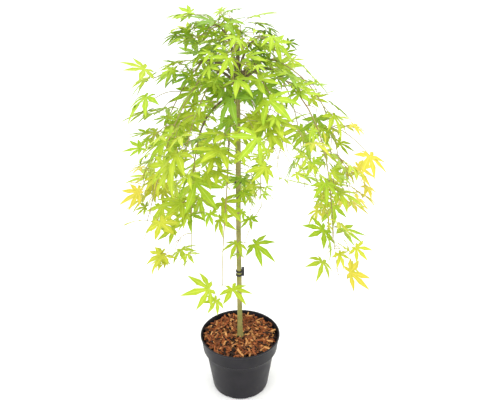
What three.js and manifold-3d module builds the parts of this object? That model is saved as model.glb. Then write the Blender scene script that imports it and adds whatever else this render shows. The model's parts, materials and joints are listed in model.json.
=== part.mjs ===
// A weeping Japanese maple, grafted on a straight stem, standing in a round nursery pot.
// Millimetres, +Z up, -Y towards the viewer. The origin is the centre of the pot's flat underside.
// Azimuths are degrees anticlockwise from +X, seen from above: 0 right, 90 back, 180 left, 270 front.

import * as THREE from 'three';
import { mergeVertices } from 'three/addons/utils/BufferGeometryUtils.js';
import Module from 'manifold-3d';

const wasm = await Module();
wasm.setup();

const gap = 0.3; // clearance where one piece meets another

const pot = {
  height: 145, rim: 95, lip: 3.5, lipStep: 1.2, edge: 0.8, bandDepth: 37, bandFoot: 89, ledge: 4,
  shoulder: 82.5, foot: 68, corner: 6, cornerSteps: 3, wall: 2, floor: 3, sides: 32,
};
const drain = { count: 8, width: 13, height: 4.5, from: 54, to: 76 };
const mulch = { top: 130.5, crown: 1.5, crownRadius: 12, chips: 16, inner: 30, outer: 74 };
const chip = { length: [16, 26], width: [8, 12], thickness: [3.4, 5], tilt: 0.4, lift: [0.3, 1.2] };
const trunk = {
  top: 772, baseRadius: 5.9, headRadius: 5, flare: 3, flareHeight: 12,
  head: 746, headSwell: 6.5, headSpread: 17, bow: 1.6, sides: 10,
  rings: {
    foot: [0, 5, 12, 24, 45], stem: { from: 240, to: 705, count: 8 }, head: [-26, -15, -6, 2, 11, 20],
  },
};
trunk.ground = mulch.top + mulch.crown + gap;
const tie = {
  upper: 530, lower: 313, lowerStrap: 303.5, depth: 4.5, thickness: 1.7, soft: 0.6, tilt: -0.2, sides: 12,
  keeper: [6, 7, 21],
};

const bough = { baseRadius: 3.2, tipRadius: 1.8, sunk: 3, sides: 5, steps: 3 };
const twig = {
  stemRadius: 1.7, radius: 1.1, sides: 3, stemSteps: 6, steps: 2,
  first: 0.03, last: 0.84, // where the first and the last twig leave the stem, as shares of its length
  reach: [0.75, 1.2], shortest: 24, probes: 8,
  outward: [-0.1, 0.9], forward: 0.45, upward: 0.25, // how a twig sets off, beside one step sideways
  spread: [0.95, 0.7], droop: [0.1, 0.75], // high in the crown, and low
};
const leaf = {
  lobes: [-84, -41, 0, 41, 84], // degrees from the middle lobe
  reach: [0.6, 0.88, 1, 0.88, 0.6], // share of the middle lobe
  notch: [0.25, 0.3, 0.3, 0.25],
  base: 148, baseReach: 0.1, peak: 0.12, thickness: 0.03, tipDrop: 0.14,
  length: [0.8, 1.16], // share of the mass's own leaf length
  petiole: [16, 32], petioleRadius: 0.4, sunk: 0.1, internode: 88,
  stemBare: 0.08, twigBare: 0.5, // the share of a stem or twig that has no leaves
};
// How a leaf lies. The second of two values holds at the foot of the crown and the first at its top.
const pose = {
  top: 850, foot: 620, petioleForward: 0.35, petioleUp: 0.3, petioleOutward: 0.3, terminalSpread: 0.25,
  bladeOutward: 0.35, bladeDown: [0.15, 0.75], faceOutward: [0.7, 1.3], jitter: 0.5, sideJitter: 0.7,
  turnJitter: 0.8, turnStep: 0.6,
};
const space = { twigMargin: 10, margin: 1.5, limbClearance: 2.5, tries: 10, shrink: 0.03 };

// Boughs, each one limb from the head of the trunk to its tip: where it leaves the trunk and how steeply,
// how far out and how high its tip is, and the pitch that it ends at.
const boughs = [
  { name: 'right', azimuth: 6, attach: 750, lift: 44, tip: [84, 778], pitch: -28 },
  { name: 'right_front', azimuth: 331, attach: 738, lift: 44, tip: [82, 766], pitch: -30 },
  { name: 'front_right', azimuth: 300, attach: 750, lift: 40, tip: [76, 766], pitch: -30 },
  { name: 'front', azimuth: 271, attach: 734, lift: 36, tip: [70, 750], pitch: -30 },
  { name: 'front_left', azimuth: 240, attach: 750, lift: 40, tip: [76, 766], pitch: -32 },
  { name: 'left_front', azimuth: 211, attach: 738, lift: 44, tip: [74, 762], pitch: -46 },
  { name: 'left', azimuth: 175, attach: 750, lift: 44, tip: [76, 774], pitch: -50 },
  { name: 'back_left', azimuth: 133, attach: 738, lift: 44, tip: [74, 766], pitch: -44 },
  { name: 'back', azimuth: 90, attach: 748, lift: 44, tip: [80, 776], pitch: -30 },
  { name: 'right_back', azimuth: 48, attach: 738, lift: 44, tip: [82, 772], pitch: -30 },
  { name: 'long_shoot', azimuth: 262, attach: 722, lift: 10, tip: [112, 640], pitch: -76 },
  { name: 'inner_left', azimuth: 222, attach: 714, lift: 0, tip: [98, 652], pitch: -70 },
  { name: 'crown_right', azimuth: 350, attach: 762, lift: 76, tip: [34, 822], pitch: 36 },
  { name: 'crown_back', azimuth: 84, attach: 762, lift: 76, tip: [34, 830], pitch: 38 },
  { name: 'crown_left', azimuth: 180, attach: 766, lift: 76, tip: [36, 846], pitch: 38 },
  { name: 'crown_front', azimuth: 266, attach: 762, lift: 76, tip: [36, 814], pitch: 32 },
];

// Foliage masses. from: the bough whose tip the stem meets, or the height on the trunk where it starts.
// end: azimuth, distance out and height of the stem's end, with the pitch that it ends at.
const masses = {
  right_curtain: { from: 'right', end: [4, 232, 468], pitch: -80, twigs: 6, reach: 66, leaf: 54 },
  right_front_curtain: {
    from: 'right_front', end: [332, 234, 360], pitch: -76, twigs: 6, reach: 50, leaf: 48,
  },
  front_right_curtain: {
    from: 'front_right', end: [302, 172, 640], pitch: -72, twigs: 5, reach: 54, leaf: 54,
  },
  front_curtain: { from: 'front', end: [270, 156, 676], pitch: -70, twigs: 5, reach: 60, leaf: 58 },
  front_left_curtain: { from: 'front_left', end: [238, 186, 592], pitch: -78, twigs: 5, reach: 60, leaf: 56 },
  left_front_curtain: { from: 'left_front', end: [211, 210, 484], pitch: -70, twigs: 6, reach: 72, leaf: 54 },
  left_curtain: { from: 'left', end: [175, 216, 472], pitch: -68, twigs: 5, reach: 64, leaf: 54 },
  back_left_curtain: { from: 'back_left', end: [133, 224, 442], pitch: -74, twigs: 5, reach: 76, leaf: 58 },
  back_curtain: { from: 'back', end: [90, 215, 429], pitch: -82, twigs: 5, reach: 76, leaf: 58 },
  right_back_curtain: { from: 'right_back', end: [46, 230, 450], pitch: -80, twigs: 5, reach: 76, leaf: 58 },
  long_shoot_tip: { from: 'long_shoot', end: [258, 150, 362], pitch: -89, twigs: 0, reach: 50, leaf: 58 },
  inner_left_curtain: { from: 'inner_left', end: [224, 134, 415], pitch: -85, twigs: 3, reach: 54, leaf: 48 },
  inner_right_curtain: { from: 710, end: [318, 64, 492], pitch: -82, twigs: 3, reach: 44, leaf: 46 },
  inner_back_curtain: { from: 710, end: [90, 104, 500], pitch: -80, twigs: 3, reach: 60, leaf: 54 },
  crown_right_spray: { from: 'crown_right', end: [350, 78, 796], pitch: -60, twigs: 6, reach: 54, leaf: 52 },
  crown_back_spray: { from: 'crown_back', end: [84, 92, 800], pitch: -60, twigs: 5, reach: 62, leaf: 54 },
  crown_left_spray: { from: 'crown_left', end: [180, 66, 820], pitch: -58, twigs: 5, reach: 48, leaf: 52 },
  crown_front_spray: { from: 'crown_front', end: [267, 116, 760], pitch: -64, twigs: 5, reach: 72, leaf: 58 },
};
// Masses whose leaves stand in opposite pairs, with the step from pair to pair, and those with a bare stem.
const pairedEvery = {
  front_right_curtain: 70, front_curtain: 62, front_left_curtain: 70, long_shoot_tip: 40,
  crown_right_spray: 66, crown_back_spray: 92, crown_left_spray: 80, crown_front_spray: 80,
};
const bareStem = {
  long_shoot_tip: 0.96, inner_left_curtain: 0.3, inner_right_curtain: 0.3, inner_back_curtain: 0.3,
};

const finish = {
  plastic: { color: 0x2f2e31, roughness: 0.6, metalness: 0 },
  rubber: { color: 0x141416, roughness: 0.7, metalness: 0 },
  mulch: { color: 0x8a5330, roughness: 0.95, metalness: 0 },
  bark: { color: 0x8f9155, roughness: 0.8, metalness: 0 },
  foliage: { color: 0x8fc21f, roughness: 0.55, metalness: 0 },
};

const up = new THREE.Vector3(0, 0, 1);
const radians = THREE.MathUtils.degToRad;
const mix = THREE.MathUtils.lerp;

function between(range, share) {
  return mix(range[0], range[1], share);
}

function seeded(seed) {
  let state = seed >>> 0;
  return () => {
    state = (Math.imul(state, 1664525) + 1013904223) >>> 0;
    return state / 2 ** 32;
  };
}

function polar(azimuth, out, height) {
  return new THREE.Vector3(out * Math.cos(radians(azimuth)), out * Math.sin(radians(azimuth)), height);
}

function heading(azimuth, pitch) {
  return polar(azimuth, Math.cos(radians(pitch)), Math.sin(radians(pitch)));
}

function toSolid(geometry) {
  const plain = new THREE.BufferGeometry().setAttribute('position', geometry.getAttribute('position'));
  plain.setIndex(geometry.index);
  const merged = mergeVertices(plain, 1e-4);
  return new wasm.Manifold(new wasm.Mesh({
    numProp: 3,
    vertProperties: new Float32Array(merged.attributes.position.array),
    triVerts: new Uint32Array(merged.index.array),
  }));
}

function toGeometry(solid) {
  const mesh = solid.getMesh();
  const geometry = new THREE.BufferGeometry();
  geometry.setAttribute('position', new THREE.BufferAttribute(new Float32Array(mesh.vertProperties), 3));
  geometry.setIndex(new THREE.BufferAttribute(new Uint32Array(mesh.triVerts), 1));
  geometry.computeVertexNormals();
  return geometry;
}

function join(solids) {
  return solids.reduce((whole, piece) => whole.add(piece));
}

// Joins rings of points, all of one length, into a closed skin with flat ends.
function loft(rings) {
  const sides = rings[0].length;
  const index = [];
  for (let ring = 0; ring + 1 < rings.length; ring++) {
    for (let side = 0; side < sides; side++) {
      const a = ring * sides + side;
      const b = ring * sides + (side + 1) % sides;
      index.push(a, b, b + sides, a, b + sides, a + sides);
    }
  }
  const last = (rings.length - 1) * sides;
  for (let side = 1; side + 1 < sides; side++) {
    index.push(0, side + 1, side, last, last + side, last + side + 1);
  }
  return new THREE.BufferGeometry().setFromPoints(rings.flat()).setIndex(index);
}

function taperedLimb(curve, radii, sides, steps) {
  const frames = curve.computeFrenetFrames(steps, false);
  const rings = frames.tangents.map((_, step) => {
    const centre = curve.getPointAt(step / steps);
    const radius = between(radii, step / steps);
    return Array.from({ length: sides }, (_, side) => {
      const turn = 2 * Math.PI * side / sides;
      return centre.clone()
        .addScaledVector(frames.normals[step], radius * Math.cos(turn))
        .addScaledVector(frames.binormals[step], radius * Math.sin(turn));
    });
  });
  return loft(rings);
}

// A point on the straight-sided limb that is drawn along a curve, as a share of its length.
function pointAlong(curve, steps, share) {
  const step = Math.min(Math.floor(share * steps), steps - 1);
  return curve.getPointAt(step / steps).lerp(curve.getPointAt((step + 1) / steps), share * steps - step);
}

// A curve that leaves one point in one direction and comes to another in a second direction.
function limbCurve(start, leaving, end, arriving) {
  const pull = 0.38 * start.distanceTo(end);
  return new THREE.CubicBezierCurve3(
    start,
    start.clone().addScaledVector(leaving, pull),
    end.clone().addScaledVector(arriving, -pull),
    end,
  );
}

function samples(curve, count) {
  return Array.from({ length: count + 1 }, (_, i) => curve.getPoint(i / count));
}

function nearest(point, points) {
  let least = Infinity;
  for (const other of points) {
    least = Math.min(least, other.distanceToSquared(point));
  }
  return Math.sqrt(least);
}

function latheAround(profile, sides) {
  const outline = profile.map(([radius, height]) => new THREE.Vector2(radius, height));
  return new THREE.LatheGeometry(outline, sides).rotateX(Math.PI / 2);
}

const bandFootHeight = pot.height - pot.bandDepth;

function potSolid() {
  const corner = Array.from({ length: pot.cornerSteps + 1 }, (_, i) => {
    const turn = i / pot.cornerSteps * Math.PI / 2;
    return [pot.foot - pot.corner + pot.corner * Math.sin(turn), pot.corner - pot.corner * Math.cos(turn)];
  });
  const shell = toSolid(latheAround([
    [0, 0], ...corner,
    [pot.shoulder, bandFootHeight - pot.ledge],
    [pot.bandFoot, bandFootHeight],
    [pot.rim - pot.lipStep, pot.height - pot.lip],
    [pot.rim, pot.height - pot.lip + pot.lipStep / 2],
    [pot.rim, pot.height - pot.edge],
    [pot.rim - pot.edge, pot.height],
    [pot.rim - pot.lipStep - pot.wall, pot.height],
    [pot.bandFoot - pot.wall, bandFootHeight + pot.edge],
    [pot.shoulder - pot.wall, bandFootHeight - pot.ledge + pot.edge],
    [pot.foot - pot.wall, pot.corner],
    [pot.foot - pot.corner, pot.floor],
    [0, pot.floor],
  ], pot.sides));
  const length = drain.to - drain.from;
  const slots = Array.from({ length: drain.count }, (_, i) => {
    const box = new THREE.BoxGeometry(length, drain.width, 2 * drain.height);
    box.translate(drain.from + length / 2, 0, 0);
    return toSolid(box.rotateZ(2 * Math.PI * (i + 0.5) / drain.count));
  });
  return shell.subtract(join(slots));
}

function bandInnerRadius(height) {
  const share = (height - bandFootHeight) / pot.bandDepth;
  return mix(pot.bandFoot, pot.rim - pot.lipStep, share) - pot.wall;
}

function mulchSolid() {
  const body = toSolid(latheAround([
    [0, pot.floor + gap],
    [pot.foot - pot.corner - gap, pot.floor + gap],
    [pot.foot - pot.wall - gap, pot.corner + gap],
    [pot.shoulder - pot.wall - gap, bandFootHeight - pot.ledge + pot.edge + gap],
    [pot.bandFoot - pot.wall - gap, bandFootHeight + pot.edge + gap],
    [bandInnerRadius(mulch.top) - 2 * gap, mulch.top],
    [mulch.crownRadius, mulch.top + mulch.crown],
    [0, mulch.top + mulch.crown],
  ], pot.sides));
  const random = seeded(7);
  const goldenAngle = Math.PI * (3 - Math.sqrt(5));
  const chips = Array.from({ length: mulch.chips }, (_, i) => {
    const share = (i + 0.5) / mulch.chips;
    const out = Math.sqrt(mix(mulch.inner ** 2, mulch.outer ** 2, share));
    const turn = i * goldenAngle;
    const box = new THREE.BoxGeometry(
      between(chip.length, random()), between(chip.width, random()), between(chip.thickness, random()));
    box.rotateX((random() - 0.5) * chip.tilt).rotateY((random() - 0.5) * chip.tilt);
    box.rotateZ(turn + Math.PI / 2 + (random() - 0.5) * mix(Math.PI, 0.7, share));
    box.translate(out * Math.cos(turn), out * Math.sin(turn), mulch.top + between(chip.lift, random()));
    return toSolid(box);
  });
  return body.add(join(chips));
}

function trunkRadius(height) {
  const rise = height - trunk.ground;
  const stem = mix(trunk.baseRadius, trunk.headRadius, rise / (trunk.top - trunk.ground));
  const flare = trunk.flare * Math.exp(-rise / trunk.flareHeight);
  return stem + flare + trunk.headSwell * Math.exp(-(((height - trunk.head) / trunk.headSpread) ** 2));
}

function trunkCentre(height) {
  const turn = Math.PI * (height - trunk.ground) / (trunk.top - trunk.ground);
  return new THREE.Vector3(-trunk.bow * Math.sin(turn), trunk.bow * Math.sin(2 * turn), height);
}

// The trunk, or the room that it takes up with some clearance round it.
function trunkGeometry(clearance) {
  const { foot, stem, head } = trunk.rings;
  const heights = [
    ...foot.map((rise) => trunk.ground + rise),
    ...Array.from({ length: stem.count }, (_, i) => mix(stem.from, stem.to, i / (stem.count - 1))),
    ...head.map((rise) => trunk.head + rise),
    trunk.top,
  ];
  return loft(heights.map((height) => {
    const radius = trunkRadius(height) + clearance / Math.cos(Math.PI / trunk.sides);
    return Array.from({ length: trunk.sides }, (_, side) => (
      trunkCentre(height).add(polar(360 * side / trunk.sides, radius, 0))));
  }));
}

function tieRing(height, tilt) {
  const half = tie.depth / 2;
  const inner = trunkRadius(height) + gap + half * Math.sin(Math.abs(tilt));
  const outer = inner + tie.thickness;
  const profile = [
    [inner, -half], [outer, -half + tie.soft], [outer, half - tie.soft], [inner, half], [inner, -half]];
  const centre = trunkCentre(height);
  return toSolid(latheAround(profile, tie.sides).rotateY(tilt).translate(centre.x, centre.y, height));
}

// Two straps, one close above the other, held by one keeper that stands off to the right.
function lowerTieSolid() {
  const [wide, deep, tall] = tie.keeper;
  const centre = trunkCentre(tie.lower);
  const out = trunkRadius(tie.lower) + gap + wide / 2;
  const keeper = new THREE.BoxGeometry(wide, deep, tall);
  keeper.translate(centre.x + out, centre.y, tie.lowerStrap - tie.depth / 2 + tall / 2);
  return join([tieRing(tie.lower, 0), tieRing(tie.lowerStrap, 0), toSolid(keeper)]);
}

function boughCurve({ azimuth, attach, lift, tip, pitch }) {
  const start = trunkCentre(attach).add(heading(azimuth, 0).multiplyScalar(bough.sunk));
  return limbCurve(start, heading(azimuth, lift), polar(azimuth, ...tip), heading(azimuth, pitch));
}

// Each mass's own stem, from its bough's tip or from the trunk.
function stemCurve({ from, end, pitch }, limbs) {
  const [azimuth, out, height] = end;
  const parent = limbs.find((limb) => limb.name === from);
  const leaving = parent ? parent.curve.getTangent(1) : heading(azimuth, 20);
  const start = parent
    ? parent.curve.getPoint(1).addScaledVector(leaving, gap)
    : trunkCentre(from).add(heading(azimuth, 0).multiplyScalar(bough.sunk));
  return limbCurve(start, leaving, polar(azimuth, out, height), heading(azimuth, pitch));
}

const limbs = boughs.map((plan) => ({ ...plan, curve: boughCurve(plan) }));
const stems = Object.entries(masses).map(([name, plan], number) => {
  const curve = stemCurve(plan, limbs);
  return { ...plan, name, number, curve, azimuth: plan.end[0], skeleton: samples(curve, 20), side: [] };
});
const obstacles = [
  ...limbs.map((limb) => ({ points: samples(limb.curve, 16), radius: bough.baseRadius })),
  {
    points: Array.from({ length: 64 }, (_, i) => trunkCentre(mix(trunk.ground, trunk.top, i / 63))),
    radius: trunk.baseRadius + trunk.flare,
  },
];

// A mass's space is all that lies nearer to its own stem and twigs than to any other's, and off the limbs.
function hasRoom(point, stem, margin) {
  const reach = nearest(point, stem.skeleton) + 2 * margin;
  return stems.every((other) => other === stem || nearest(point, other.skeleton) > reach)
    && obstacles.every((limb) => nearest(point, limb.points) > limb.radius + space.limbClearance);
}

function outwardAt(point, azimuth) {
  return new THREE.Vector3(point.x, point.y, 0).addScaledVector(heading(azimuth, 0), 30).normalize();
}

// 0 at the top of the crown and 1 at its foot, where leaves and twigs hang.
function lownessAt(point) {
  return 1 - THREE.MathUtils.smoothstep(point.z, pose.foot, pose.top);
}

// The side twigs of a stem: alternate, setting off sideways and then hanging, each cut short at the edge
// of its mass's space.
function growTwigs(stem, random) {
  const grown = [];
  for (let i = 0; i < stem.twigs; i++) {
    const share = mix(twig.first, twig.last, i / (stem.twigs - 1));
    const root = pointAlong(stem.curve, twig.stemSteps, share);
    const outward = outwardAt(root, stem.azimuth);
    const low = lownessAt(root);
    const reach = stem.reach * between(twig.reach, random());
    const way = new THREE.Vector3().crossVectors(up, outward).multiplyScalar(i % 2 ? 1 : -1)
      .addScaledVector(outward, between(twig.outward, random()))
      .addScaledVector(stem.curve.getTangentAt(share), twig.forward)
      .addScaledVector(up, twig.upward)
      .normalize();
    const bend = root.clone().addScaledVector(way, reach * 0.55);
    const end = root.clone()
      .addScaledVector(way, reach * between(twig.spread, low))
      .addScaledVector(up, -reach * between(twig.droop, low));
    const whole = new THREE.QuadraticBezierCurve3(root, bend, end);
    let clear = 1;
    const stays = (probe) => hasRoom(whole.getPoint(probe / twig.probes), stem, space.twigMargin);
    while (clear < twig.probes && stays(clear + 1)) {
      clear++;
    }
    const cut = clear / twig.probes;
    if (cut * reach >= twig.shortest) {
      grown.push(new THREE.QuadraticBezierCurve3(root, root.clone().lerp(bend, cut), whole.getPoint(cut)));
    }
  }
  return grown;
}

// The blade hangs from the far end of its petiole: more level at the top of the crown, steeper below.
function placeLeaf(node, stem, turn, scale, random) {
  const { point, tangent, terminal } = node;
  const outward = outwardAt(point, stem.azimuth);
  const across = new THREE.Vector3().crossVectors(tangent, outward).normalize();
  const away = new THREE.Vector3().crossVectors(across, tangent);
  const petioleWay = across.multiplyScalar(Math.cos(turn)).addScaledVector(away, Math.sin(turn))
    .multiplyScalar(terminal ? pose.terminalSpread : 1)
    .addScaledVector(tangent, terminal ? 1 : pose.petioleForward)
    .addScaledVector(up, pose.petioleUp)
    .addScaledVector(outward, pose.petioleOutward)
    .normalize();
  const petiole = between(leaf.petiole, random());
  const low = lownessAt(point);
  const axis = new THREE.Vector3(petioleWay.x, petioleWay.y, 0)
    .addScaledVector(outward, pose.bladeOutward)
    .addScaledVector(up, -between(pose.bladeDown, low) + (random() - 0.5) * pose.jitter)
    .normalize();
  const sideways = new THREE.Vector3().crossVectors(up, outward);
  sideways.multiplyScalar((random() - 0.5) * pose.sideJitter);
  const face = sideways.add(up)
    .addScaledVector(outward, between(pose.faceOutward, low) + (random() - 0.5) * pose.jitter);
  face.addScaledVector(axis, -face.dot(axis)).normalize();
  return {
    root: point,
    base: point.clone().addScaledVector(petioleWay, petiole),
    axis,
    face,
    cross: new THREE.Vector3().crossVectors(face, axis),
    length: stem.leaf * between(leaf.length, random()) * scale,
  };
}

function leafPoint(blade, degrees, reach, lift) {
  const turn = radians(degrees);
  return blade.base.clone()
    .addScaledVector(blade.axis, blade.length * reach * Math.cos(turn))
    .addScaledVector(blade.cross, blade.length * reach * Math.sin(turn))
    .addScaledVector(blade.face, blade.length * lift);
}

function lobePoint(blade, lobe, share) {
  const reach = leaf.reach[lobe] * share;
  return leafPoint(blade, leaf.lobes[lobe], reach, -leaf.tipDrop * reach);
}

function leafFits(blade, stem) {
  const probes = leaf.lobes.flatMap((_, lobe) => [1, 0.7, 0.4].map((share) => lobePoint(blade, lobe, share)));
  probes.push(blade.base, blade.base.clone().lerp(blade.root, 0.5));
  return probes.every((probe) => hasRoom(probe, stem, space.margin));
}

// Whether the line between two points passes through a blade.
function pierces(from, to, blade) {
  const below = from.clone().sub(blade.base).dot(blade.face);
  const above = to.clone().sub(blade.base).dot(blade.face);
  if (below * above > 0) {
    return false;
  }
  const meets = from.clone().lerp(to, below / (below - above)).sub(blade.base);
  return meets.length() < blade.length * 0.9 && meets.dot(blade.axis) > -0.3 * blade.length;
}

function spokes(blade) {
  return [[blade.root, blade.base], ...leaf.lobes.map((_, lobe) => [blade.base, lobePoint(blade, lobe, 1)])];
}

function bladesCross(a, b) {
  return spokes(a).some(([from, to]) => pierces(from, to, b))
    || spokes(b).some(([from, to]) => pierces(from, to, a));
}

// Leaves at even steps, each turned by a quarter from the last, and one more at the tip. Where the
// crown is dense they stand in opposite pairs. One that finds no room in any of its tries is left out.
function growLeaves(stem, curve, steps, bare, kept, random) {
  const step = pairedEvery[stem.name] ?? leaf.internode;
  const nodes = Math.max(1, Math.round(curve.getLength() * (1 - bare) / step));
  const beside = stem.name in pairedEvery ? [0, 1] : [0];
  for (let i = 0; i <= nodes; i++) {
    const share = mix(bare, 1, i / nodes);
    const point = pointAlong(curve, steps, share * 0.985);
    const tangent = curve.getTangentAt(share);
    for (const side of i === nodes ? [...beside, 2] : beside) {
      const node = { point, tangent, terminal: side === 2 };
      for (let attempt = 0; attempt < space.tries; attempt++) {
        const jitter = (random() - 0.5) * (pose.turnJitter + attempt * pose.turnStep);
        const turn = i * Math.PI / 2 + side * Math.PI + jitter;
        const blade = placeLeaf(node, stem, turn, 1 - space.shrink * attempt, random);
        if (leafFits(blade, stem) && !kept.some((other) => bladesCross(blade, other))) {
          kept.push(blade);
          break;
        }
      }
    }
  }
}

// A star of lobes, thick in the middle and sharp at its rim, drawn out at the back into its petiole.
function leafGeometry(blade) {
  const rim = leaf.lobes.flatMap((degrees, lobe) => {
    const tip = lobePoint(blade, lobe, 1);
    const next = leaf.lobes[lobe + 1];
    return next === undefined ? [tip] : [tip, leafPoint(blade, (degrees + next) / 2, leaf.notch[lobe], 0)];
  });
  rim.unshift(leafPoint(blade, -leaf.base, leaf.baseReach, 0));
  rim.push(leafPoint(blade, leaf.base, leaf.baseReach, 0));
  const way = blade.base.clone().sub(blade.root).normalize();
  const foot = blade.root.clone().addScaledVector(way, leaf.sunk);
  const points = [
    ...rim,
    leafPoint(blade, 0, leaf.peak, leaf.thickness / 2),
    leafPoint(blade, 0, leaf.peak, -leaf.thickness / 2),
    foot.clone().addScaledVector(blade.cross, -leaf.petioleRadius),
    foot.clone().addScaledVector(blade.cross, leaf.petioleRadius),
    foot.clone().addScaledVector(blade.face, -1.4 * leaf.petioleRadius),
  ];
  const last = rim.length - 1;
  const [top, under, right, left, low] = [1, 2, 3, 4, 5].map((step) => last + step);
  const index = [];
  for (let i = 0; i < last; i++) {
    index.push(top, i, i + 1, under, i + 1, i);
  }
  index.push(top, last, 0, last, left, right, last, right, 0);
  index.push(0, right, low, 0, low, under, under, low, left, under, left, last, right, left, low);
  return new THREE.BufferGeometry().setFromPoints(points).setIndex(index);
}

function massSolid(stem, trunkRoom) {
  const random = seeded(901 + 37 * stem.number);
  const blades = [];
  growLeaves(stem, stem.curve, twig.stemSteps, bareStem[stem.name] ?? leaf.stemBare, blades, random);
  for (const curve of stem.side) {
    growLeaves(stem, curve, twig.steps, leaf.twigBare, blades, random);
  }
  const main = toSolid(taperedLimb(stem.curve, [twig.stemRadius, twig.radius], twig.sides, twig.stemSteps));
  const whole = join([
    main.subtract(trunkRoom),
    ...stem.side.map((curve) => (
      toSolid(taperedLimb(curve, [twig.radius, twig.radius], twig.sides, twig.steps)))),
    ...blades.map((blade) => toSolid(leafGeometry(blade))),
  ]);
  return whole.decompose().sort((a, b) => b.volume() - a.volume())[0];
}

const maple = new THREE.Group();

function place(name, geometry, look) {
  const mesh = new THREE.Mesh(geometry, new THREE.MeshStandardMaterial(finish[look]));
  mesh.name = name;
  maple.add(mesh);
}

place('pot', toGeometry(potSolid()), 'plastic');
place('bark_mulch', toGeometry(mulchSolid()), 'mulch');
place('trunk', trunkGeometry(0), 'bark');
place('tie_upper', toGeometry(tieRing(tie.upper, tie.tilt)), 'rubber');
place('tie_lower', toGeometry(lowerTieSolid()), 'rubber');

const trunkRoom = toSolid(trunkGeometry(gap));
for (const limb of limbs) {
  const radii = [bough.baseRadius, bough.tipRadius];
  const solid = toSolid(taperedLimb(limb.curve, radii, bough.sides, bough.steps));
  place(`bough_${limb.name}`, toGeometry(solid.subtract(trunkRoom)), 'bark');
}

const twigs = stems.map((stem) => growTwigs(stem, seeded(101 + 37 * stem.number)));
stems.forEach((stem, number) => {
  stem.side = twigs[number];
  stem.skeleton.push(...stem.side.flatMap((curve) => samples(curve, twig.probes)));
});
for (const stem of stems) {
  place(`foliage_${stem.name}`, toGeometry(massSolid(stem, trunkRoom)), 'foliage');
}

export default maple;
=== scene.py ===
import json
import math

import bmesh
import bpy
import numpy as np
from mathutils import Matrix, Vector, noise

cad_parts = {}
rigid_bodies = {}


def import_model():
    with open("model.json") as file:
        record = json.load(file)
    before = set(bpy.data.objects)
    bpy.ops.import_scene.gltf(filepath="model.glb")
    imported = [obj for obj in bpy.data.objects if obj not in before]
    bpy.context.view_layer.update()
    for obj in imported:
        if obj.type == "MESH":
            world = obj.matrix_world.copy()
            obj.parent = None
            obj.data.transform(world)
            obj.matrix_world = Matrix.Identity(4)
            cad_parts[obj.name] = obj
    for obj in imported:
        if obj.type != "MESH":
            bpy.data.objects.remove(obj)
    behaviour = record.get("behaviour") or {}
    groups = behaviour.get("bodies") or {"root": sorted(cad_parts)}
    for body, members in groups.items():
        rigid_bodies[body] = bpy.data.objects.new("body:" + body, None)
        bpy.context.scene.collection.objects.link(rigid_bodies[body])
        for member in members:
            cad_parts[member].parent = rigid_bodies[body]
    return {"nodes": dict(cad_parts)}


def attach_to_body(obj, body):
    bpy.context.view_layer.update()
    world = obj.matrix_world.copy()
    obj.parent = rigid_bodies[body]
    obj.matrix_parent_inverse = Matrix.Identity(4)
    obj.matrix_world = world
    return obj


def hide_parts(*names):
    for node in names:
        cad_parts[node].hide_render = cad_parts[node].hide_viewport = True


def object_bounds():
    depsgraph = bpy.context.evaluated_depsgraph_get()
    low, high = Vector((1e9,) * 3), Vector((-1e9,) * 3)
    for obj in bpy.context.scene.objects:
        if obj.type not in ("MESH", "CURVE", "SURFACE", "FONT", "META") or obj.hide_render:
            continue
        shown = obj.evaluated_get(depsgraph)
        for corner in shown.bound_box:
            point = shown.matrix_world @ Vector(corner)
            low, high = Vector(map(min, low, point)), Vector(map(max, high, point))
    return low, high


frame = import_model()
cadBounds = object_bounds()
mm = 0.001
up = Vector((0, 0, 1))


# Camera, floor and light

view = {
    "place": (0.0237, -1.041, 0.912),
    "lookDown": 22.12,  # degrees
    "lens": 37.44,
    "sensor": 36,
    "floor": 45,
    "floorColour": (0.96, 0.96, 0.96),
    "floorRoughness": 0.9,
    "floorShine": 0.2,
    "skyColour": (1.0, 1.0, 1.0),
    "skyStrength": 1.52,
    "lightAim": (0, 0, 0.5),
    # name: place, size, power
    "lights": {
        "keyLight": ((-1.3, -1.7, 2.3), 1.4, 13),
        "fillLight": ((1.7, -1.4, 1.5), 1.6, 7),
        "topLight": ((0.1, 0.5, 2.4), 1.4, 9),
    },
}


def makeStage():
    scene = bpy.context.scene
    camera = bpy.data.objects.new("camera", bpy.data.cameras.new("camera"))
    camera.location = view["place"]
    camera.rotation_euler = (math.radians(90 - view["lookDown"]), 0, 0)
    camera.data.lens = view["lens"]
    camera.data.sensor_width = view["sensor"]
    scene.collection.objects.link(camera)
    scene.camera = camera
    scene.view_settings.view_transform = "Standard"

    bm = bmesh.new()
    bmesh.ops.create_grid(bm, x_segments=2, y_segments=2, size=view["floor"])
    paint, shader = newMaterial("floorPaint", view["floorRoughness"], view["floorShine"])
    shader.inputs["Base Color"].default_value = (*view["floorColour"], 1)
    floor = newObject("floor", bm, paint)

    world = bpy.data.worlds.new("studio")
    scene.world = world
    world.use_nodes = True
    background = world.node_tree.nodes["Background"]
    background.inputs["Color"].default_value = (*view["skyColour"], 1)
    background.inputs["Strength"].default_value = view["skyStrength"]

    for name, (place, size, power) in view["lights"].items():
        lamp = bpy.data.lights.new(name, "AREA")
        lamp.size = size
        lamp.energy = power
        light = bpy.data.objects.new(name, lamp)
        light.location = place
        aim = Vector(view["lightAim"]) - light.location
        light.rotation_euler = aim.to_track_quat("-Z", "Y").to_euler()
        scene.collection.objects.link(light)
    print("camera, floor and lights", len(view["lights"]))


# Making pieces


def newObject(name, bm, material=None):
    mesh = bpy.data.meshes.new(name)
    bm.to_mesh(mesh)
    bm.free()
    piece = bpy.data.objects.new(name, mesh)
    bpy.context.scene.collection.objects.link(piece)
    if material:
        mesh.materials.append(material)
    return piece


def finishPiece(piece, nodes):
    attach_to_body(piece, "root")
    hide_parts(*nodes)


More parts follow.
